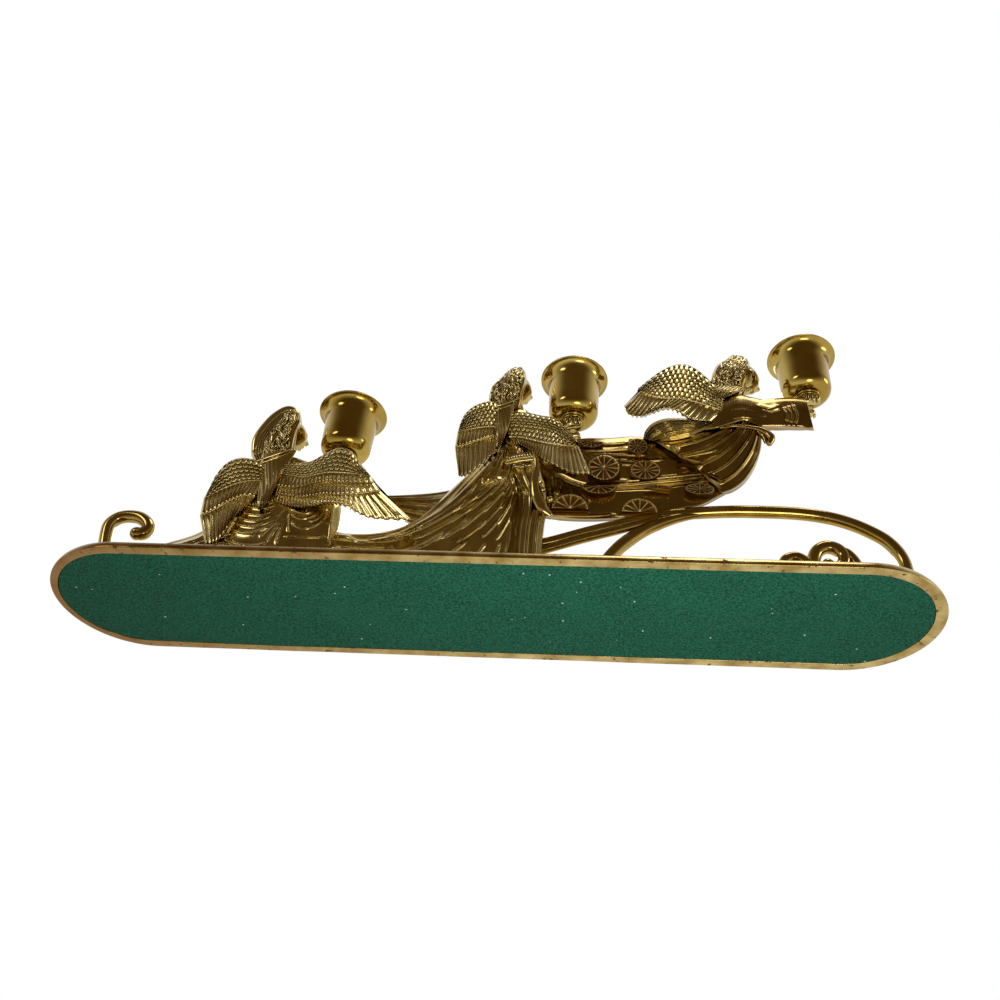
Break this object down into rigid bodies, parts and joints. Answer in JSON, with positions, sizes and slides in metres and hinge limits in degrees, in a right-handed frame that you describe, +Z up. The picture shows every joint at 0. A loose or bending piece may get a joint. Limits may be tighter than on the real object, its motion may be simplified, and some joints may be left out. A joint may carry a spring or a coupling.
{
  "type": "angel candle holder",
  "caption": "Long brass candle holder: winged angels in flowing robes carry bell-shaped candle cups in rising order above a scrolled vine on a round-ended felted base.",
  "frame": {"origin": "centre of the base's underside, on the surface it stands on", "axes": "+X along the base towards the highest cup, +Y towards the side that the angels' faces turn to, +Z up"},
  "size_m": [0.4, 0.0782, 0.1733],
  "materials": {
    "cast_brass": "polished brass plate over cast metal",
    "turned_brass": "polished brass plate, spun and turned",
    "plate_brass": "polished brass plate, worn brown at the rim",
    "green_felt": "glued wool felt",
    "screw_steel": "plain zinc plated steel"
  },
  "bodies": {
    "root": {"base_felt": "green_felt", "base_plate": "plate_brass", "base_screws": "screw_steel", "hook_scroll": "cast_brass", "lower_cup": "turned_brass", "lower_cup_collar": "turned_brass", "lower_cup_screw": "screw_steel", "lower_far_arm": "cast_brass", "lower_gown": "cast_brass", "lower_hair": "cast_brass", "lower_head": "cast_brass", "lower_left_wing": "cast_brass", "lower_near_arm": "cast_brass", "lower_right_wing": "cast_brass", "lower_train": "cast_brass", "middle_cloak": "cast_brass", "middle_cup": "turned_brass", "middle_cup_collar": "turned_brass", "middle_cup_screw": "screw_steel", "middle_far_arm": "cast_brass", "middle_gown": "cast_brass", "middle_hair": "cast_brass", "middle_head": "cast_brass", "middle_left_wing": "cast_brass", "middle_near_arm": "cast_brass", "middle_right_wing": "cast_brass", "middle_sash": "cast_brass", "middle_train": "cast_brass", "upper_cup": "turned_brass", "upper_cup_collar": "turned_brass", "upper_cup_screw": "screw_steel", "upper_far_arm": "cast_brass", "upper_far_wing": "cast_brass", "upper_gown": "cast_brass", "upper_hair": "cast_brass", "upper_head": "cast_brass", "upper_mantle": "cast_brass", "upper_medallions": "cast_brass", "upper_near_arm": "cast_brass", "upper_near_wing": "cast_brass", "upper_scarf": "cast_brass", "upper_sleeve": "cast_brass", "vine_arch": "cast_brass", "vine_large_curl": "cast_brass", "vine_small_curl": "cast_brass", "vine_stem": "cast_brass", "vine_strand": "cast_brass"}
  },
  "joints": []
}
